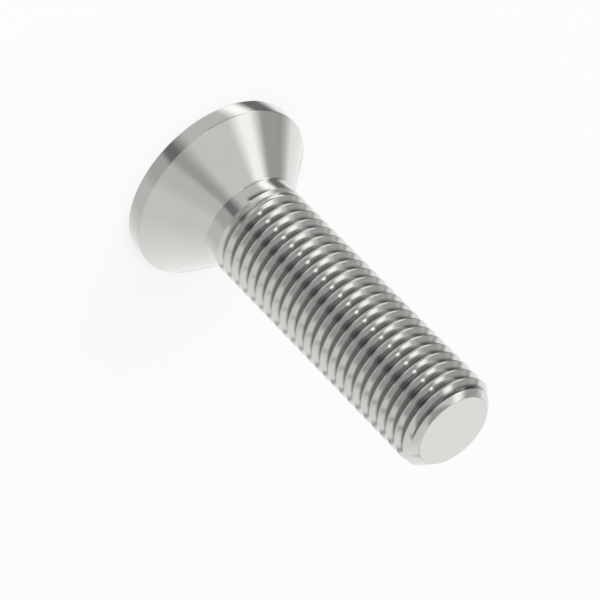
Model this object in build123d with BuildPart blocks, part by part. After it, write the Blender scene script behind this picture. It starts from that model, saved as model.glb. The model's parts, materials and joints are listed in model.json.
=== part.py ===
"""Countersunk socket screw, M4 x 0.5 x 15, with a right-hand thread up to the head.

Millimetres, +Z along the axis from the head to the point. The origin is the centre of
the flat driving face, so the screw stands on its head as it would on a bench.
"""

from build123d import *
import math
import os

os.makedirs("parts", exist_ok=True)

# Driving dimensions
thread_diameter = 4.0
thread_pitch = 0.5
thread_angle = 60.0
overall_length = 15.0
head_diameter = 7.58
rim_height = 0.65
cone_angle = 90.0
neck_length = 0.47
point_chamfer = 0.46
socket_width = 2.5
socket_depth = 1.5
punch_angle = 120.0
mouth_break = 0.04
neck_fillet = 0.1

# The cone joins the rim to the shank
thread_radius = thread_diameter / 2
head_radius = head_diameter / 2
cone_slope = math.tan(math.radians(cone_angle / 2))
head_height = rim_height + (head_radius - thread_radius) / cone_slope

# Basic metric profile: a flat of P/4 at the root and of P/8 at the crest
flank_slope = math.tan(math.radians(thread_angle / 2))
root_half = thread_pitch / 8
mouth_half = thread_pitch * 7 / 16
thread_depth = (mouth_half - root_half) / flank_slope
root_radius = thread_radius - thread_depth

# The cutting tool is a little taller than the groove, so its end never lies on the shank
tool_height = thread_depth + thread_pitch / 50
tool_half = root_half + tool_height * flank_slope
tool_exit_radius = root_radius + tool_height

# Its path climbs out over the turn beside the neck, and ends clear of the point
groove_start = head_height + neck_length
run_out = thread_pitch
climb_angle = math.degrees(math.atan(tool_height / run_out))
climb_pitch = thread_pitch / math.cos(math.radians(climb_angle))
full_start = groove_start + run_out
span_height = 4 * thread_pitch
span_count = math.ceil((overall_length + thread_pitch - full_start) / span_height)

path_top = full_start + span_count * span_height
climb = Helix(
    pitch=climb_pitch,
    height=run_out,
    radius=tool_exit_radius,
    center=(0, 0, groove_start),
    cone_angle=-climb_angle,
)
spans = [
    Helix(
        pitch=thread_pitch,
        height=span_height,
        radius=root_radius,
        center=(0, 0, full_start + span * span_height),
    )
    for span in range(span_count)
]
groove_path = Wire([climb, *spans])

# The tool is held square to the axis all along
axis_line = Edge.make_line((0, 0, groove_start), (0, 0, path_top))

# The punch leaves a conical floor, and its shoulder opens the mouth a little
floor_rise = socket_width / 2 / math.tan(math.radians(punch_angle / 2))
mouth_radius = socket_width / math.sqrt(3) + mouth_break
mouth_depth = mouth_radius / math.tan(math.radians(punch_angle / 2))

upward = (Align.CENTER, Align.CENTER, Align.MIN)

with BuildPart() as socket_screw:
    # Blank, turned about the axis
    with BuildSketch(Plane.XZ) as profile:
        with BuildLine():
            Polyline(
                (0, 0),
                (head_radius, 0),
                (head_radius, rim_height),
                (thread_radius, head_height),
                (thread_radius, overall_length - point_chamfer),
                (thread_radius - point_chamfer, overall_length),
                (0, overall_length),
                close=True,
            )
        make_face()
        fillet(profile.vertices().sort_by_distance((thread_radius, head_height))[0], neck_fillet)
    revolve(axis=Axis.Z)

    # Hexagon socket, punched into the driving face
    with BuildSketch():
        RegularPolygon(radius=socket_width / 2, side_count=6, major_radius=False)
    extrude(amount=socket_depth, mode=Mode.SUBTRACT)
    with Locations((0, 0, socket_depth)):
        Cone(socket_width / 2, 0, floor_rise, align=upward, mode=Mode.SUBTRACT)
    Cone(mouth_radius, 0, mouth_depth, align=upward, mode=Mode.SUBTRACT)

    # Thread groove
    with BuildSketch(Plane.XZ):
        with Locations((tool_exit_radius, groove_start)):
            Polygon(
                (0, -root_half),
                (tool_height, -tool_half),
                (tool_height, tool_half),
                (0, root_half),
                align=None,
            )
    sweep(path=groove_path, binormal=axis_line, mode=Mode.SUBTRACT)

socket_screw.part.label = "socket_screw"
export_step(socket_screw.part, "parts/socket_screw.step")
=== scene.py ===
"""A countersunk socket screw, M4 x 0.5 x 15, standing on its head in a white studio.

The screw is rolled from one flat pattern. The pattern's X is the angle round the axis, its
Y the height above the driving face and its Z the radius, in millimetres. There the thread
flanks, the chamfer and the end are all planes, so plane cuts trim them exactly.
"""

import json
import logging
import math
from dataclasses import dataclass, field
from enum import Enum
from typing import Any, Callable, Iterable, Optional, Union

import bmesh
import bpy
from mathutils import Matrix, Vector

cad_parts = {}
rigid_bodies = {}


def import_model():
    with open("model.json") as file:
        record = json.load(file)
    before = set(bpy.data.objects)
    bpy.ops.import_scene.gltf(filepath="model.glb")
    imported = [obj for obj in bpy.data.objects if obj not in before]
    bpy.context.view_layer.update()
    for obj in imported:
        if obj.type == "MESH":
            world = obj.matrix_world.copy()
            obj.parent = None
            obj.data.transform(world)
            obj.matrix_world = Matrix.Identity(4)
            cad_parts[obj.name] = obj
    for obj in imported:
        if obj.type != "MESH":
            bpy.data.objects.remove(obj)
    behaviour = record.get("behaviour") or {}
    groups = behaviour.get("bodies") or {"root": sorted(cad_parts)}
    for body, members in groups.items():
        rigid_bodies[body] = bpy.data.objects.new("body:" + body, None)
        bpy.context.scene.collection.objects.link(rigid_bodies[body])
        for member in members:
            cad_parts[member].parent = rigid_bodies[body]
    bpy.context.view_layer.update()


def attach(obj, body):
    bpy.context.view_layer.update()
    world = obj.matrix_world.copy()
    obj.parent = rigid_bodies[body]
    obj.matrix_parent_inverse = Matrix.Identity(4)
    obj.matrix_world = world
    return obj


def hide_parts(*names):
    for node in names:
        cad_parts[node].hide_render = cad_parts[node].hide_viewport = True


log = logging.getLogger("countersunk_screw")

FULL_TURN = 2 * math.pi
TO_METRES = 0.001
TINY = 1e-5  # Two places in the pattern closer than this are the same.
SEAM_GAP = 2e-5  # Vertices of the rolled mesh closer than this become one.
ON_EDGE = 1e-4  # A vertex this close to an edge's line lies on it.
CUT_GAP = 1e-7  # A vertex this close to a cutting plane lies in it.
SLIVER = 1e-6  # Edges shorter than this are dissolved.
Colour = tuple[float, float, float]
Place = tuple[float, float, float]
Span = tuple[float, float]


class Hand(Enum):
    """Which way the thread climbs."""

    RIGHT = 1
    LEFT = -1


class Ray(Enum):
    """The kinds of ray that show the white background."""

    CAMERA = "Is Camera Ray"
    GLOSSY = "Is Glossy Ray"
    TRANSMISSION = "Is Transmission Ray"


class Tone(Enum):
    """How light a card, a lamp or the backdrop is in the studio, where white is 1."""

    LAMP = 1.4
    WHITE = 1.0
    PALE = 0.65
    MIDDLE = 0.5
    CEILING = 0.4
    DARK = 0.2
    BLACK = 0.1

    @property
    def colour(self) -> Colour:
        """The tone as a neutral colour."""
        return (self.value, self.value, self.value)


# ------------------------------------------------------------------ shader maths


class Term:
    """A shader socket that can be added, subtracted, multiplied and divided."""

    def __init__(self, graph: "Graph", socket: bpy.types.NodeSocket) -> None:
        """Keeps the socket and the graph that it belongs to."""
        self.graph = graph
        self.socket = socket

    def _math(self, operation: str, first: Any, second: Any) -> "Term":
        """Adds one Math node.

        Args:
            operation: Blender's name of the operation.
            first: A term or a number.
            second: A term or a number.

        Returns:
            The node's result.
        """
        return self.graph.node("ShaderNodeMath", {"operation": operation}, {0: first, 1: second})

    def __add__(self, other: Any) -> "Term":
        """Returns self + other."""
        return self._math("ADD", self, other)

    def __radd__(self, other: Any) -> "Term":
        """Returns other + self."""
        return self._math("ADD", other, self)

    def __sub__(self, other: Any) -> "Term":
        """Returns self - other."""
        return self._math("SUBTRACT", self, other)

    def __rsub__(self, other: Any) -> "Term":
        """Returns other - self."""
        return self._math("SUBTRACT", other, self)

    def __mul__(self, other: Any) -> "Term":
        """Returns self * other."""
        return self._math("MULTIPLY", self, other)

    def __rmul__(self, other: Any) -> "Term":
        """Returns other * self."""
        return self._math("MULTIPLY", other, self)

    def __truediv__(self, other: Any) -> "Term":
        """Returns self / other."""
        return self._math("DIVIDE", self, other)

    def ramp(self, low: float, high: float) -> "Term":
        """Rises smoothly from 0 at low to 1 at high.

        Args:
            low: The value that gives 0.
            high: The value that gives 1.

        Returns:
            The smooth step.
        """
        return self.graph.node(
            "ShaderNodeMapRange",
            {"interpolation_type": "SMOOTHSTEP"},
            {"Value": self, "From Min": low, "From Max": high},
        )


class Graph:
    """A node tree that is emptied and then built from expressions."""

    def __init__(self, tree: bpy.types.NodeTree) -> None:
        """Clears the tree."""
        self.tree = tree
        tree.nodes.clear()

    def node(
        self,
        kind: str,
        settings: Optional[dict[str, Any]] = None,
        inputs: Optional[dict[Union[int, str], Any]] = None,
        output: Union[int, str] = 0,
    ) -> Term:
        """Adds a node.

        Args:
            kind: Blender's type of the node.
            settings: Attributes of the node, and "stops" for a ramp's positions and colours.
            inputs: Values or terms of its sockets, by name or number.
            output: The output to hand back, by name or number.

        Returns:
            That output.
        """
        made = self.tree.nodes.new(kind)
        for name, value in (settings or {}).items():
            if name == "stops":
                self._set_stops(made.color_ramp, value)
            else:
                setattr(made, name, value)
        for key, value in (inputs or {}).items():
            socket = made.inputs[key]
            if isinstance(value, Term):
                self.tree.links.new(value.socket, socket)
            else:
                socket.default_value = value
        return Term(self, made.outputs[output]) if made.outputs else Term(self, made.inputs[0])

    @staticmethod
    def _set_stops(ramp: bpy.types.ColorRamp, stops: list[tuple[float, Colour]]) -> None:
        """Gives a colour ramp its stops.

        Args:
            ramp: The ramp.
            stops: Positions from 0 to 1 with their colours, in rising order.
        """
        while len(ramp.elements) > 1:
            ramp.elements.remove(ramp.elements[-1])
        ramp.elements[0].position = stops[0][0]
        ramp.elements[0].color = (*stops[0][1], 1.0)
        for position, colour in stops[1:]:
            ramp.elements.new(position).color = (*colour, 1.0)

    def mix(self, factor: Any, first: Any, second: Any) -> Term:
        """Mixes two colours.

        Args:
            factor: 0 gives the first colour and 1 the second.
            first: A colour or a term.
            second: A colour or a term.

        Returns:
            The mixed colour.
        """

        def full(value: Any) -> Any:
            """Adds the alpha that a colour socket wants."""
            return value if isinstance(value, Term) else (*value, 1.0)

        return self.node(
            "ShaderNodeMix",
            {"data_type": "RGBA"},
            {"Factor": factor, 6: full(first), 7: full(second)},
            output=2,
        )

    def parts(self, vector: Term) -> tuple[Term, Term, Term]:
        """Splits a vector into its three numbers.

        Args:
            vector: The vector.

        Returns:
            Its X, Y and Z.
        """
        split = self.node("ShaderNodeSeparateXYZ", {}, {0: vector})
        outputs = split.socket.node.outputs
        return Term(self, outputs[0]), Term(self, outputs[1]), Term(self, outputs[2])

    def noise(self, place: Term, scale: float, detail: float, roughness: float) -> Term:
        """Adds soft noise.

        Args:
            place: Where it is read.
            scale: How many blotches fit in one unit.
            detail: How many finer layers it has.
            roughness: How strong the finer layers are.

        Returns:
            The noise, from 0 to 1.
        """
        return self.node(
            "ShaderNodeTexNoise",
            {"noise_dimensions": "3D"},
            {"Vector": place, "Scale": scale, "Detail": detail, "Roughness": roughness},
        )

    def ray(self, kind: Ray) -> Term:
        """Returns 1 for rays of that kind and 0 for the others."""
        return self.node("ShaderNodeLightPath", output=kind.value)

    def shows_background(self) -> Term:
        """Finds the rays that show the background: what is seen, mirrored or seen through.

        Returns:
            1 for those rays and 0 for the ones that only carry light.
        """
        found = self.ray(Ray.CAMERA)
        for kind in (Ray.GLOSSY, Ray.TRANSMISSION):
            either = {0: found, 1: self.ray(kind)}
            found = self.node("ShaderNodeMath", {"operation": "MAXIMUM"}, either)
        return found


# ------------------------------------------------------------------ finishes


@dataclass(frozen=True)
class BrightSteel:
    """Stainless steel, rolled and turned bright, with fine marks that run round the axis, and
    with painted shade darkening its thread roots.
    """

    name: str = "bright_stainless_steel"
    colour: Colour = (0.70, 0.69, 0.665)
    worn_colour: Colour = (0.685, 0.673, 0.648)
    roughness: float = 0.10
    roughness_spread: float = 0.04
    # Painted shade: the colour that the thread roots darken to, and the radii over which it
    # fades in.
    root_painted_shade: Colour = (0.20, 0.20, 0.20)
    painted_shade_full_radius_mm: float = 1.745
    painted_shade_start_radius_mm: float = 1.87
    end_face_mm: Span = (1.66, 1.70)
    thread_mm: Span = (2.95, 3.25)
    chamfer_mm: Span = (16.535, 16.52)
    worn_patches: Span = (0.45, 0.75)
    clouds_per_metre: float = 900.0
    marks_per_mm: float = 34.0
    mark_height_mm: float = 0.00015
    mark_strength: float = 0.3

    def make(self) -> bpy.types.Material:
        """Builds the material.

        Returns:
            The finished material.
        """
        material = bpy.data.materials.new(self.name)
        material.use_nodes = True
        graph = Graph(material.node_tree)
        place = graph.node("ShaderNodeTexCoord", output="Object")
        x, y, z = graph.parts(place)
        radius = graph.node("ShaderNodeMath", {"operation": "SQRT"}, {0: x * x + y * y})
        across = graph.node(
            "ShaderNodeCombineXYZ", {}, {0: radius / TO_METRES, 1: z / TO_METRES, 2: 0.0}
        )
        marks = graph.noise(across, self.marks_per_mm, detail=2.0, roughness=0.6)
        clouds = graph.noise(place, self.clouds_per_metre, detail=3.0, roughness=0.55)
        roughness = self.roughness + self.roughness_spread * (clouds + 0.5 * marks - 0.75)
        unshaded_steel = graph.mix(clouds.ramp(*self.worn_patches), self.colour, self.worn_colour)
        # Painted shade: the grooves darken towards the root colour from the run-out to the
        # chamfer, where they lie in shade.
        out, height = radius / TO_METRES, z / TO_METRES
        groove_painted_shade = out.ramp(self.painted_shade_start_radius_mm, self.painted_shade_full_radius_mm)
        groove_painted_shade = groove_painted_shade * out.ramp(*self.end_face_mm)
        in_thread = height.ramp(*self.thread_mm) * (height + out).ramp(*self.chamfer_mm)
        colour = graph.mix(groove_painted_shade * in_thread, unshaded_steel, self.root_painted_shade)
        bump = graph.node(
            "ShaderNodeBump",
            {},
            {
                "Strength": self.mark_strength,
                "Distance": self.mark_height_mm * TO_METRES,
                "Height": marks,
            },
        )
        surface = graph.node(
            "ShaderNodeBsdfPrincipled",
            {},
            {"Base Color": colour, "Metallic": 1.0, "Roughness": roughness, "Normal": bump},
        )
        graph.node("ShaderNodeOutputMaterial", {}, {"Surface": surface})
        return material


@dataclass(frozen=True)
class PaleFloor:
    """A white floor that keeps the screw's shadow and can be looked through from below."""

    name: str = "pale_floor"
    colour: Colour = (0.96, 0.96, 0.96)
    glow: float = 0.75

    def make(self) -> bpy.types.Material:
        """Builds the material.

        Returns:
            The finished material.
        """
        material = bpy.data.materials.new(self.name)
        material.use_nodes = True
        graph = Graph(material.node_tree)
        matt = graph.node("ShaderNodeBsdfDiffuse", {}, {"Color": (*self.colour, 1.0)})
        white = (*Tone.WHITE.colour, 1.0)
        bright = graph.node("ShaderNodeEmission", {}, {"Color": white, "Strength": 1.0})
        share = graph.shows_background() * self.glow
        lit = graph.node("ShaderNodeMixShader", {}, {0: share, 1: matt, 2: bright})
        clear = graph.node("ShaderNodeBsdfTransparent", {}, {"Color": white})
        below = graph.node("ShaderNodeNewGeometry", output="Backfacing")
        surface = graph.node("ShaderNodeMixShader", {}, {0: below, 1: lit, 2: clear})
        graph.node("ShaderNodeOutputMaterial", {}, {"Surface": surface})
        return material


# ------------------------------------------------------------------ the screw


@dataclass
class Thread:
    """The basic metric profile and the turn over which it runs out beside the neck."""

    diameter: float = 4.0
    pitch: float = 0.5
    angle: float = 60.0
    start: float = 2.91
    overlap: float = 0.01
    hand: Hand = Hand.RIGHT

    @property
    def radius(self) -> float:
        """Radius at the crests."""
        return self.diameter / 2

    @property
    def slope(self) -> float:
        """How much wider a groove gets for each unit of its depth, on one side."""
        return math.tan(math.radians(self.angle / 2))

    @property
    def root_half(self) -> float:
        """Half the flat at the bottom of a groove."""
        return self.pitch / 8

    @property
    def mouth_half(self) -> float:
        """Half the width of a groove at the crests."""
        return self.pitch * 7 / 16

    @property
    def reach(self) -> float:
        """Half the width over which the run-out is shaped, a little past a groove's mouth."""
        return self.mouth_half + self.pitch / 20

    @property
    def depth(self) -> float:
        """Depth of a full groove."""
        return (self.mouth_half - self.root_half) / self.slope

    def depth_at(self, turns: float) -> float:
        """Depth of the groove along its first turn.

        Args:
            turns: The turns since the start, from 0 to 1.

        Returns:
            The depth there.
        """
        return max(0.0, turns * (self.depth + self.overlap) - self.overlap)

    def groove(self, centre: float) -> list[tuple[float, float]]:
        """Gives the corners of one full groove.

        Args:
            centre: Height of its centre line.

        Returns:
            Heights and radii, from the head's side to the point's.
        """
        low = self.radius - self.depth
        return [
            (centre - self.mouth_half, self.radius),
            (centre - self.root_half, low),
            (centre + self.root_half, low),
            (centre + self.mouth_half, self.radius),
        ]

    def shallow(self, place: Vector) -> None:
        """Lifts a vertex of the first turn to the groove's depth there.

        Args:
            place: The vertex's place in the pattern, which is changed.
        """
        turns = place.x / FULL_TURN
        centre = self.start + turns * self.pitch
        offset = place.y - centre
        if abs(offset) > self.reach:
            return
        sunk = self.radius - place.z
        depth = self.depth_at(turns)
        part = sunk / self.depth
        narrowed = abs(offset) - (self.depth - depth) * self.slope * (1 - part)
        place.y = centre + math.copysign(narrowed, offset)
        place.z = self.radius - depth * part


@dataclass
class Socket:
    """The hexagon socket with its punched floor and opened mouth."""

    width: float = 2.5
    depth: float = 1.5
    punch_angle: float = 120.0
    mouth_break: float = 0.04
    top_mark: float = 0.3

    @property
    def corner(self) -> float:
        """Radius at the hexagon's corners."""
        return self.width / math.sqrt(3)

    @property
    def mouth(self) -> float:
        """Radius of the mouth in the driving face."""
        return self.corner + self.mouth_break

    @property
    def rise(self) -> float:
        """Tangent of half the punch's angle."""
        return math.tan(math.radians(self.punch_angle / 2))

    def outline(self) -> list[tuple[float, float]]:
        """Gives the section from the floor's tip to the mouth, as heights and radii."""
        return [
            (self.depth + self.width / 2 / self.rise, 0.0),
            (self.depth, self.width / 2),
            (self.depth, self.corner),
            (self.top_mark, self.corner),
            (0.0, self.mouth),
        ]

    def flatten(self, place: Vector) -> None:
        """Moves a vertex of the round wall onto the hexagon.

        Args:
            place: The vertex's place in the pattern, which is changed.
        """
        if abs(place.z - self.corner) > TINY or place.y < TINY:
            return
        from_middle = math.fmod(place.x, FULL_TURN / 6) - FULL_TURN / 12
        place.z = self.width / 2 / math.cos(from_middle)
        if abs(place.y - self.top_mark) < TINY:
            place.y = (self.mouth - place.z) / self.rise


@dataclass(frozen=True)
class Rounding:
    """The width of a rounded edge on each side, and the number of its facets."""

    width: float
    facets: int


@dataclass
class Softening:
    """How each kind of edge is rounded."""

    head_edge: Rounding = Rounding(0.03, 4)
    seat_edge: Rounding = Rounding(0.02, 3)
    neck_fillet: Rounding = Rounding(0.0414, 4)
    crest: Rounding = Rounding(0.012, 2)
    root: Rounding = Rounding(0.036, 2)
    end_edge: Rounding = Rounding(0.012, 3)


def at(height: float, radius: float) -> Callable[[Vector], bool]:
    """Makes a test for places in the pattern.

    Args:
        height: The height to look at.
        radius: The radius to look at.

    Returns:
        A function that says yes to a place at both.
    """
    return lambda place: abs(place.y - height) < TINY and abs(place.z - radius) < TINY


def above(height: float, radius: float) -> Callable[[Vector], bool]:
    """Makes a test for places in the pattern.

    Args:
        height: The height to look above.
        radius: The radius to look at.

    Returns:
        A function that says yes to a place above the height and at the radius.
    """
    return lambda place: place.y > height + TINY and abs(place.z - radius) < TINY


@dataclass
class CountersunkScrew:
    """The whole screw, which is one forged and rolled piece."""

    length: float = 15.0
    head_diameter: float = 7.58
    rim_height: float = 0.65
    cone_angle: float = 90.0
    point_chamfer: float = 0.46
    neck_gap: float = 0.05
    columns: int = 240
    sharp_angle: float = 32.0
    normal_weight: int = 60
    thread: Thread = field(default_factory=Thread)
    socket: Socket = field(default_factory=Socket)
    softening: Softening = field(default_factory=Softening)
    finish: BrightSteel = field(default_factory=BrightSteel)

    @property
    def head_height(self) -> float:
        """Height of the head, from the driving face to the neck."""
        slope = math.tan(math.radians(self.cone_angle / 2))
        return self.rim_height + (self.head_diameter / 2 - self.thread.radius) / slope

    @property
    def end_radius(self) -> float:
        """Radius of the flat end."""
        return self.thread.radius - self.point_chamfer

    @property
    def neck_line(self) -> float:
        """Height up to which the shank stays plain all round."""
        return self.thread.start - self.thread.mouth_half - self.neck_gap

    @property
    def step(self) -> float:
        """Angle of one column."""
        return FULL_TURN / self.columns

    def section(self) -> list[tuple[float, float]]:
        """Gives the section from the socket's floor to past the point, as heights and radii."""
        thread = self.thread
        points = self.socket.outline()
        points += [
            (0.0, self.head_diameter / 2),
            (self.rim_height, self.head_diameter / 2),
            (self.head_height, thread.radius),
            (self.neck_line, thread.radius),
        ]
        centre = thread.start
        while centre < self.length + 2 * thread.pitch:
            points += thread.groove(centre)
            centre += thread.pitch
        return points

    def _front(self, mesh: bmesh.types.BMesh, place: float) -> list[Any]:
        """Gives the boundary of the pattern at one angle.

        Args:
            mesh: The pattern.
            place: The angle.

        Returns:
            The boundary's vertices and edges there.
        """
        edges = [
            edge
            for edge in mesh.edges
            if edge.is_boundary and all(abs(v.co.x - place) < TINY for v in edge.verts)
        ]
        return list({v for edge in edges for v in edge.verts}) + edges

    def _soften(
        self,
        mesh: bmesh.types.BMesh,
        test: Callable[[Vector], bool],
        rounding: Rounding,
    ) -> None:
        """Rounds the edges that run across the pattern and pass a test.

        Args:
            mesh: The pattern.
            test: Says yes to a place on an edge to be rounded.
            rounding: The size of the rounding.
        """
        edges = [
            edge
            for edge in mesh.edges
            if len(edge.link_faces) == 2
            and abs(edge.verts[0].co.x - edge.verts[1].co.x) > TINY
            and all(test(v.co) for v in edge.verts)
        ]
        self._round_off(mesh, edges, rounding)

    @staticmethod
    def _round_off(
        mesh: bmesh.types.BMesh, edges: list[bmesh.types.BMEdge], rounding: Rounding
    ) -> None:
        """Rounds edges.

        Args:
            mesh: The mesh that they belong to.
            edges: The edges.
            rounding: The size of the rounding.
        """
        bmesh.ops.bevel(
            mesh,
            geom=edges,
            offset=rounding.width,
            offset_type="OFFSET",
            segments=rounding.facets,
            profile=0.5,
            affect="EDGES",
            clamp_overlap=True,
            material=-1,
        )

    @staticmethod
    def _stretch(mesh: bmesh.types.BMesh, geom: list[Any], step: float, steps: int) -> None:
        """Draws vertices and edges out along the pattern's X.

        Args:
            mesh: The pattern.
            geom: What is drawn out.
            step: The width of a column.
            steps: The number of columns.
        """
        bmesh.ops.spin(
            mesh,
            geom=geom,
            cent=(0, 0, 0),
            axis=(1, 0, 0),
            dvec=(step, 0, 0),
            angle=0.0,
            steps=steps,
            use_merge=False,
            use_duplicate=False,
        )

    def _pattern(self) -> bmesh.types.BMesh:
        """Draws the flat pattern, with every groove at full depth and level.

        Returns:
            The pattern, one column for each step round the axis.
        """
        mesh = bmesh.new()
        verts = [mesh.verts.new((0.0, height, radius)) for height, radius in self.section()]
        edges = [mesh.edges.new(pair) for pair in zip(verts, verts[1:])]
        step = self.step
        self._stretch(mesh, verts + edges, step, 1)
        soft, thread, head = self.softening, self.thread, self.head_diameter / 2
        self._soften(mesh, at(0.0, head), soft.head_edge)
        self._soften(mesh, at(self.rim_height, head), soft.seat_edge)
        self._soften(mesh, at(self.head_height, thread.radius), soft.neck_fillet)
        self._soften(mesh, above(self.neck_line, thread.radius - thread.depth), soft.root)
        self._soften(mesh, above(self.neck_line, thread.radius), soft.crest)
        self._stretch(mesh, self._front(mesh, step), step, self.columns - 1)
        for vert in mesh.verts:
            vert.co.x = round(vert.co.x / step) * step
        return mesh

    def _lead(self, mesh: bmesh.types.BMesh) -> None:
        """Slants the grooves by one pitch a turn, and shapes the run-out and the hexagon.

        Args:
            mesh: The flat pattern.
        """
        thread = self.thread
        for vert in mesh.verts:
            if vert.co.y > self.neck_line + TINY:
                vert.co.y += thread.pitch * vert.co.x / FULL_TURN
                thread.shallow(vert.co)
            self.socket.flatten(vert.co)

    def _close_seam(self, mesh: bmesh.types.BMesh) -> None:
        """Splits the neck's last edge where the first groove begins on the other side.

        Args:
            mesh: The slanted pattern.
        """
        first = sorted(
            {
                round(v.co.y, 6)
                for v in mesh.verts
                if v.co.x < TINY and abs(v.co.z - self.thread.radius) < TINY
                and self.neck_line + TINY < v.co.y
            }
        )
        top = min(
            v.co.y
            for v in mesh.verts
            if abs(v.co.x - FULL_TURN) < TINY and v.co.y > self.neck_line + TINY
        )
        for height in [y for y in first if y < top - TINY]:
            for edge in [e for e in mesh.edges if e.is_boundary]:
                low, high = sorted(edge.verts, key=lambda v: v.co.y)
                if (
                    min(low.co.x, high.co.x) > FULL_TURN - TINY
                    and low.co.y < height - TINY
                    and high.co.y > height + TINY
                    and abs(low.co.z - self.thread.radius) < TINY
                    and abs(high.co.z - self.thread.radius) < TINY
                ):
                    share = (height - low.co.y) / (high.co.y - low.co.y)
                    bmesh.utils.edge_split(edge, low, share)
                    break

    def _split(self, mesh: bmesh.types.BMesh, wide: list[bmesh.types.BMFace]) -> None:
        """Splits wide faces into columns.

        Args:
            mesh: The pattern.
            wide: The faces.
        """
        for column in range(1, self.columns):
            split = bmesh.ops.bisect_plane(
                mesh,
                geom=list({g for f in wide for g in (*f.verts, *f.edges, f)}),
                dist=CUT_GAP,
                plane_co=(column * self.step, 0, 0),
                plane_no=(1, 0, 0),
            )["geom"]
            wide = [
                g
                for g in split
                if isinstance(g, bmesh.types.BMFace)
                and max(v.co.x for v in g.verts) > column * self.step + TINY
            ]

    def _point(self, mesh: bmesh.types.BMesh) -> None:
        """Cuts the chamfer through the grooves, closes it and adds the flat end.

        Args:
            mesh: The slanted pattern.
        """
        corner = Vector((0.0, self.length, self.end_radius))
        cut = bmesh.ops.bisect_plane(
            mesh,
            geom=mesh.verts[:] + mesh.edges[:] + mesh.faces[:],
            dist=CUT_GAP,
            plane_co=corner,
            plane_no=Vector((0, 1, 1)).normalized(),
            clear_outer=True,
        )
        edges = [g for g in cut["geom_cut"] if isinstance(g, bmesh.types.BMEdge)]
        ends = [
            next(v for edge in edges for v in edge.verts if abs(v.co.x - place) < TINY)
            for place in (0.0, FULL_TURN)
        ]
        corners = [mesh.verts.new((place, corner.y, corner.z)) for place in (0.0, FULL_TURN)]
        edges += [mesh.edges.new((ends[0], corners[0])), mesh.edges.new((ends[1], corners[1]))]
        edges.append(mesh.edges.new(corners))
        self._split(mesh, bmesh.ops.contextual_create(mesh, geom=edges)["faces"])
        on_rim = at(corner.y, corner.z)
        rim = [edge for edge in mesh.edges if all(on_rim(v.co) for v in edge.verts)]
        grown = bmesh.ops.extrude_edge_only(mesh, edges=rim)["geom"]
        for vert in (g for g in grown if isinstance(g, bmesh.types.BMVert)):
            vert.co.z = 0.0

    def _roll(self, mesh: bmesh.types.BMesh) -> None:
        """Rolls the pattern up round the axis, closes its seam and rounds the end's edge.

        Args:
            mesh: The finished pattern, which becomes the screw in metres.
        """
        for vert in mesh.verts:
            angle = self.thread.hand.value * vert.co.x
            height, radius = vert.co.y, vert.co.z
            vert.co = (radius * math.cos(angle), radius * math.sin(angle), height)
        bmesh.ops.remove_doubles(mesh, verts=mesh.verts[:], dist=SEAM_GAP)
        bmesh.ops.dissolve_degenerate(mesh, edges=mesh.edges[:], dist=SLIVER)
        bmesh.ops.recalc_face_normals(mesh, faces=mesh.faces[:])
        rim = [
            edge
            for edge in mesh.edges
            if all(
                abs(v.co.z - self.length) < ON_EDGE
                and abs(math.hypot(v.co.x, v.co.y) - self.end_radius) < ON_EDGE
                for v in edge.verts
            )
        ]
        self._round_off(mesh, rim, self.softening.end_edge)
        bmesh.ops.scale(mesh, vec=(TO_METRES,) * 3, verts=mesh.verts[:])

    def build(self) -> bpy.types.Object:
        """Makes the screw and dresses it.

        Returns:
            The screw's object.
        """
        mesh = self._pattern()
        self._lead(mesh)
        self._close_seam(mesh)
        self._point(mesh)
        self._roll(mesh)
        open_edges = sum(1 for edge in mesh.edges if len(edge.link_faces) != 2)
        log.info("screw: %d faces, %d open edges", len(mesh.faces), open_edges)
        data = bpy.data.meshes.new("screw_body")
        for face in mesh.faces:
            face.smooth = True
        mesh.to_mesh(data)
        mesh.free()
        data.set_sharp_from_angle(angle=math.radians(self.sharp_angle))
        screw = bpy.data.objects.new("screw_body", data)
        bpy.context.scene.collection.objects.link(screw)
        data.materials.append(self.finish.make())
        normals = screw.modifiers.new("even_normals", "WEIGHTED_NORMAL")
        normals.keep_sharp = True
        normals.weight = self.normal_weight
        return screw


# ------------------------------------------------------------------ the studio


@dataclass(frozen=True)
class Card:
    """A grey card or a soft lamp that stands in front of the white backdrop.

    Positions run round the horizon from 0 to 1, with 0.5 in front of the screw's near side.
    Light blends evenly across the space between two cards.
    """

    start: float
    end: float
    tone: Tone

    def stops(self) -> list[tuple[float, Colour]]:
        """Gives the colour ramp's stops for this card."""
        return [(self.start, self.tone.colour), (self.end, self.tone.colour)]


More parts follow.
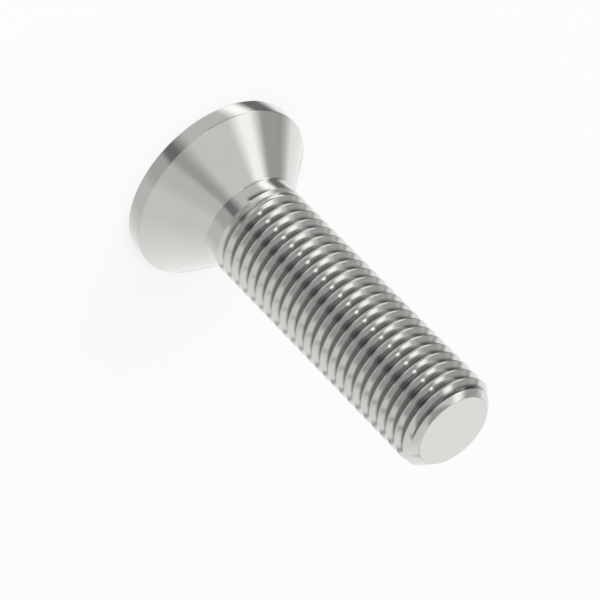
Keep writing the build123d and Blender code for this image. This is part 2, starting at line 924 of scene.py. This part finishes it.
@dataclass(frozen=True)
class Sky:
    """The white backdrop, and the few cards and lamps that the steel mirrors."""

    cards: tuple[Card, ...] = (
        Card(0.00, 0.10, Tone.WHITE),
        Card(0.26, 0.34, Tone.PALE),
        Card(0.38, 0.44, Tone.MIDDLE),
        Card(0.46, 0.49, Tone.DARK),
        Card(0.54, 0.68, Tone.PALE),
        Card(0.72, 0.75, Tone.LAMP),
        Card(0.79, 0.85, Tone.DARK),
        Card(0.90, 1.00, Tone.WHITE),
    )
    spill: float = 0.3
    spill_height: Span = (-0.05, 0.22)
    low_card: Span = (0.58, 0.74)
    low_card_blur: float = 0.01
    low_card_foot: Span = (-0.46, -0.40)
    low_card_top: Span = (-0.10, -0.20)
    overhead: Span = (0.86, 0.90)
    rear_inner: Span = (0.05, 0.10)
    rear_outer: Span = (0.50, 0.40)
    rear_foot: Span = (0.18, 0.32)
    rear_front: Span = (0.0, 0.12)
    ambient: float = 0.7
    spot_aim: Place = (-0.52, -0.85, 0.11)
    spot_strength: float = 3.0
    spot_size: float = 3.5
    spot_blur: float = 1.5

    def _ring(self, graph: Graph, around: Term) -> Term:
        """Sets the cards and lamps up round the horizon.

        Args:
            graph: The world's nodes.
            around: The place round the horizon, from 0 to 1.

        Returns:
            The light from there.
        """
        stops = [stop for card in self.cards for stop in card.stops()]
        return graph.node("ShaderNodeValToRGB", {"stops": stops}, {0: around})

    def _low_card(self, around: Term, z: Term) -> Term:
        """Finds the black card that stands low, which darkens the grooves.

        Args:
            around: The place round the horizon, from 0 to 1.
            z: The height looked at.

        Returns:
            1 on the card and 0 beside it.
        """
        start, end = self.low_card
        blur = self.low_card_blur
        across = around.ramp(start - blur, start + blur) * around.ramp(end + blur, end - blur)
        return across * z.ramp(*self.low_card_foot) * z.ramp(*self.low_card_top)

    def _ceiling(self, x: Term, y: Term, z: Term) -> Term:
        """Finds the grey ceiling and its two flaps at the rear.

        Args:
            x: The direction's X.
            y: The direction's Y.
            z: The direction's Z.

        Returns:
            1 on the ceiling and 0 beside it.
        """
        side = x * x
        rear = side.ramp(*self.rear_inner) * side.ramp(*self.rear_outer)
        rear = rear * z.ramp(*self.rear_foot) * y.ramp(*self.rear_front)
        return 1.0 - (1.0 - z.ramp(*self.overhead)) * (1.0 - rear)

    def _spot(self, graph: Graph, aim: Term) -> Term:
        """Finds the small round lamp.

        Args:
            graph: The world's nodes.
            aim: The direction.

        Returns:
            1 on the lamp and 0 beside it.
        """
        nearness = graph.node(
            "ShaderNodeVectorMath",
            {"operation": "DOT_PRODUCT"},
            {0: aim, 1: Vector(self.spot_aim).normalized()},
            output="Value",
        )
        outside = math.cos(math.radians(self.spot_size + self.spot_blur))
        return nearness.ramp(outside, math.cos(math.radians(self.spot_size)))

    def make(self) -> bpy.types.World:
        """Builds the world.

        Returns:
            The finished world.
        """
        world = bpy.data.worlds.new("studio")
        world.use_nodes = True
        graph = Graph(world.node_tree)
        aim = graph.node("ShaderNodeTexCoord", output="Generated")
        x, y, z = graph.parts(aim)
        angle = graph.node("ShaderNodeMath", {"operation": "ARCTAN2"}, {0: 0.0 - x, 1: 0.0 - y})
        around = angle / FULL_TURN + 0.5
        white = Tone.WHITE.colour
        share = z.ramp(*self.spill_height) * self.spill
        room = graph.mix(share, self._ring(graph, around), white)
        room = graph.mix(self._low_card(around, z), room, Tone.BLACK.colour)
        room = graph.mix(self._ceiling(x, y, z), room, Tone.CEILING.colour)
        room = graph.mix(self._spot(graph, aim), room, (self.spot_strength,) * 3)
        background = graph.mix(graph.ray(Ray.GLOSSY), white, room)
        seen = graph.mix(graph.shows_background(), (self.ambient,) * 3, background)
        light = graph.node("ShaderNodeBackground", {}, {"Color": seen, "Strength": 1.0})
        graph.node("ShaderNodeOutputWorld", {}, {"Surface": light})
        return world


@dataclass
class Studio:
    """The floor, the light and the camera.

    The camera's distance and shifts are counted in radii of the thread.
    """

    sky: Sky = field(default_factory=Sky)
    floor_finish: PaleFloor = field(default_factory=PaleFloor)
    floor_size: float = 1.2
    lamp_power: float = 0.36
    lamp_size: float = 0.25
    lamp_place: Place = (-0.12, -0.10, 0.30)
    lamp_aim: Place = (0.0, 0.0, 0.006)
    point_height: float = 0.01506
    thread_radius: float = 0.002
    lens: float = 299.3
    sensor_width: float = 36.0
    clip: Span = (0.005, 10.0)
    distance: float = 89.63
    shift_right: float = 2.7754
    shift_up: float = -2.3683
    right: Place = (-0.7184, 0.3703, 0.5888)
    up: Place = (-0.6956, -0.3825, -0.6082)

    def lay_floor(self) -> bpy.types.Object:
        """Lays the floor under the screw.

        Returns:
            The floor's object.
        """
        mesh = bmesh.new()
        bmesh.ops.create_grid(mesh, x_segments=1, y_segments=1, size=self.floor_size / 2)
        data = bpy.data.meshes.new("floor")
        mesh.to_mesh(data)
        mesh.free()
        data.materials.append(self.floor_finish.make())
        floor = bpy.data.objects.new("floor", data)
        bpy.context.scene.collection.objects.link(floor)
        floor.visible_glossy = False
        return floor

    def hang_lamp(self) -> bpy.types.Object:
        """Hangs one soft lamp, which gives the floor its shadow.

        Returns:
            The lamp's object.
        """
        data = bpy.data.lights.new("soft_lamp", "AREA")
        data.shape = "DISK"
        data.size = self.lamp_size
        data.energy = self.lamp_power
        lamp = bpy.data.objects.new("soft_lamp", data)
        lamp.location = self.lamp_place
        aim = Vector(self.lamp_aim) - Vector(self.lamp_place)
        lamp.rotation_mode = "QUATERNION"
        lamp.rotation_quaternion = aim.to_track_quat("-Z", "Y")
        lamp.visible_glossy = False
        bpy.context.scene.collection.objects.link(lamp)
        return lamp

    def place_camera(self) -> bpy.types.Object:
        """Places the camera, which looks at the screw's point from above.

        Returns:
            The camera's object.
        """
        right, up = Vector(self.right).normalized(), Vector(self.up)
        up = (up - right * up.dot(right)).normalized()
        back = right.cross(up)
        offset = right * self.shift_right + up * self.shift_up - back * self.distance
        place = Vector((0, 0, self.point_height)) - offset * self.thread_radius
        data = bpy.data.cameras.new("camera")
        data.lens = self.lens
        data.sensor_width = self.sensor_width
        data.clip_start, data.clip_end = self.clip
        camera = bpy.data.objects.new("camera", data)
        turn = Matrix((right, up, back)).transposed().to_4x4()
        camera.matrix_world = Matrix.Translation(place) @ turn
        bpy.context.scene.collection.objects.link(camera)
        bpy.context.scene.camera = camera
        return camera


def corners(box: Iterable[Vector]) -> list[list[float]]:
    """Turns the two corners of a box into plain lists.

    Args:
        box: The lowest and the highest corner.

    Returns:
        The same corners as numbers.
    """
    return [[float(value) for value in corner] for corner in box]


def main() -> None:
    """Builds the screw and the studio in order."""
    logging.basicConfig(level=logging.INFO, format="%(message)s")
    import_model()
    scene = bpy.context.scene
    scene.view_settings.view_transform = "Standard"

    screw = CountersunkScrew().build()
    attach(screw, "root")
    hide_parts("socket_screw")
    log.info("screw_body: rides on root")

    studio = Studio()
    floor = studio.lay_floor()
    studio.hang_lamp()
    scene.world = studio.sky.make()
    studio.place_camera()
    log.info("studio: floor, lamp, world and camera")


if __name__ == "__main__":
    main()
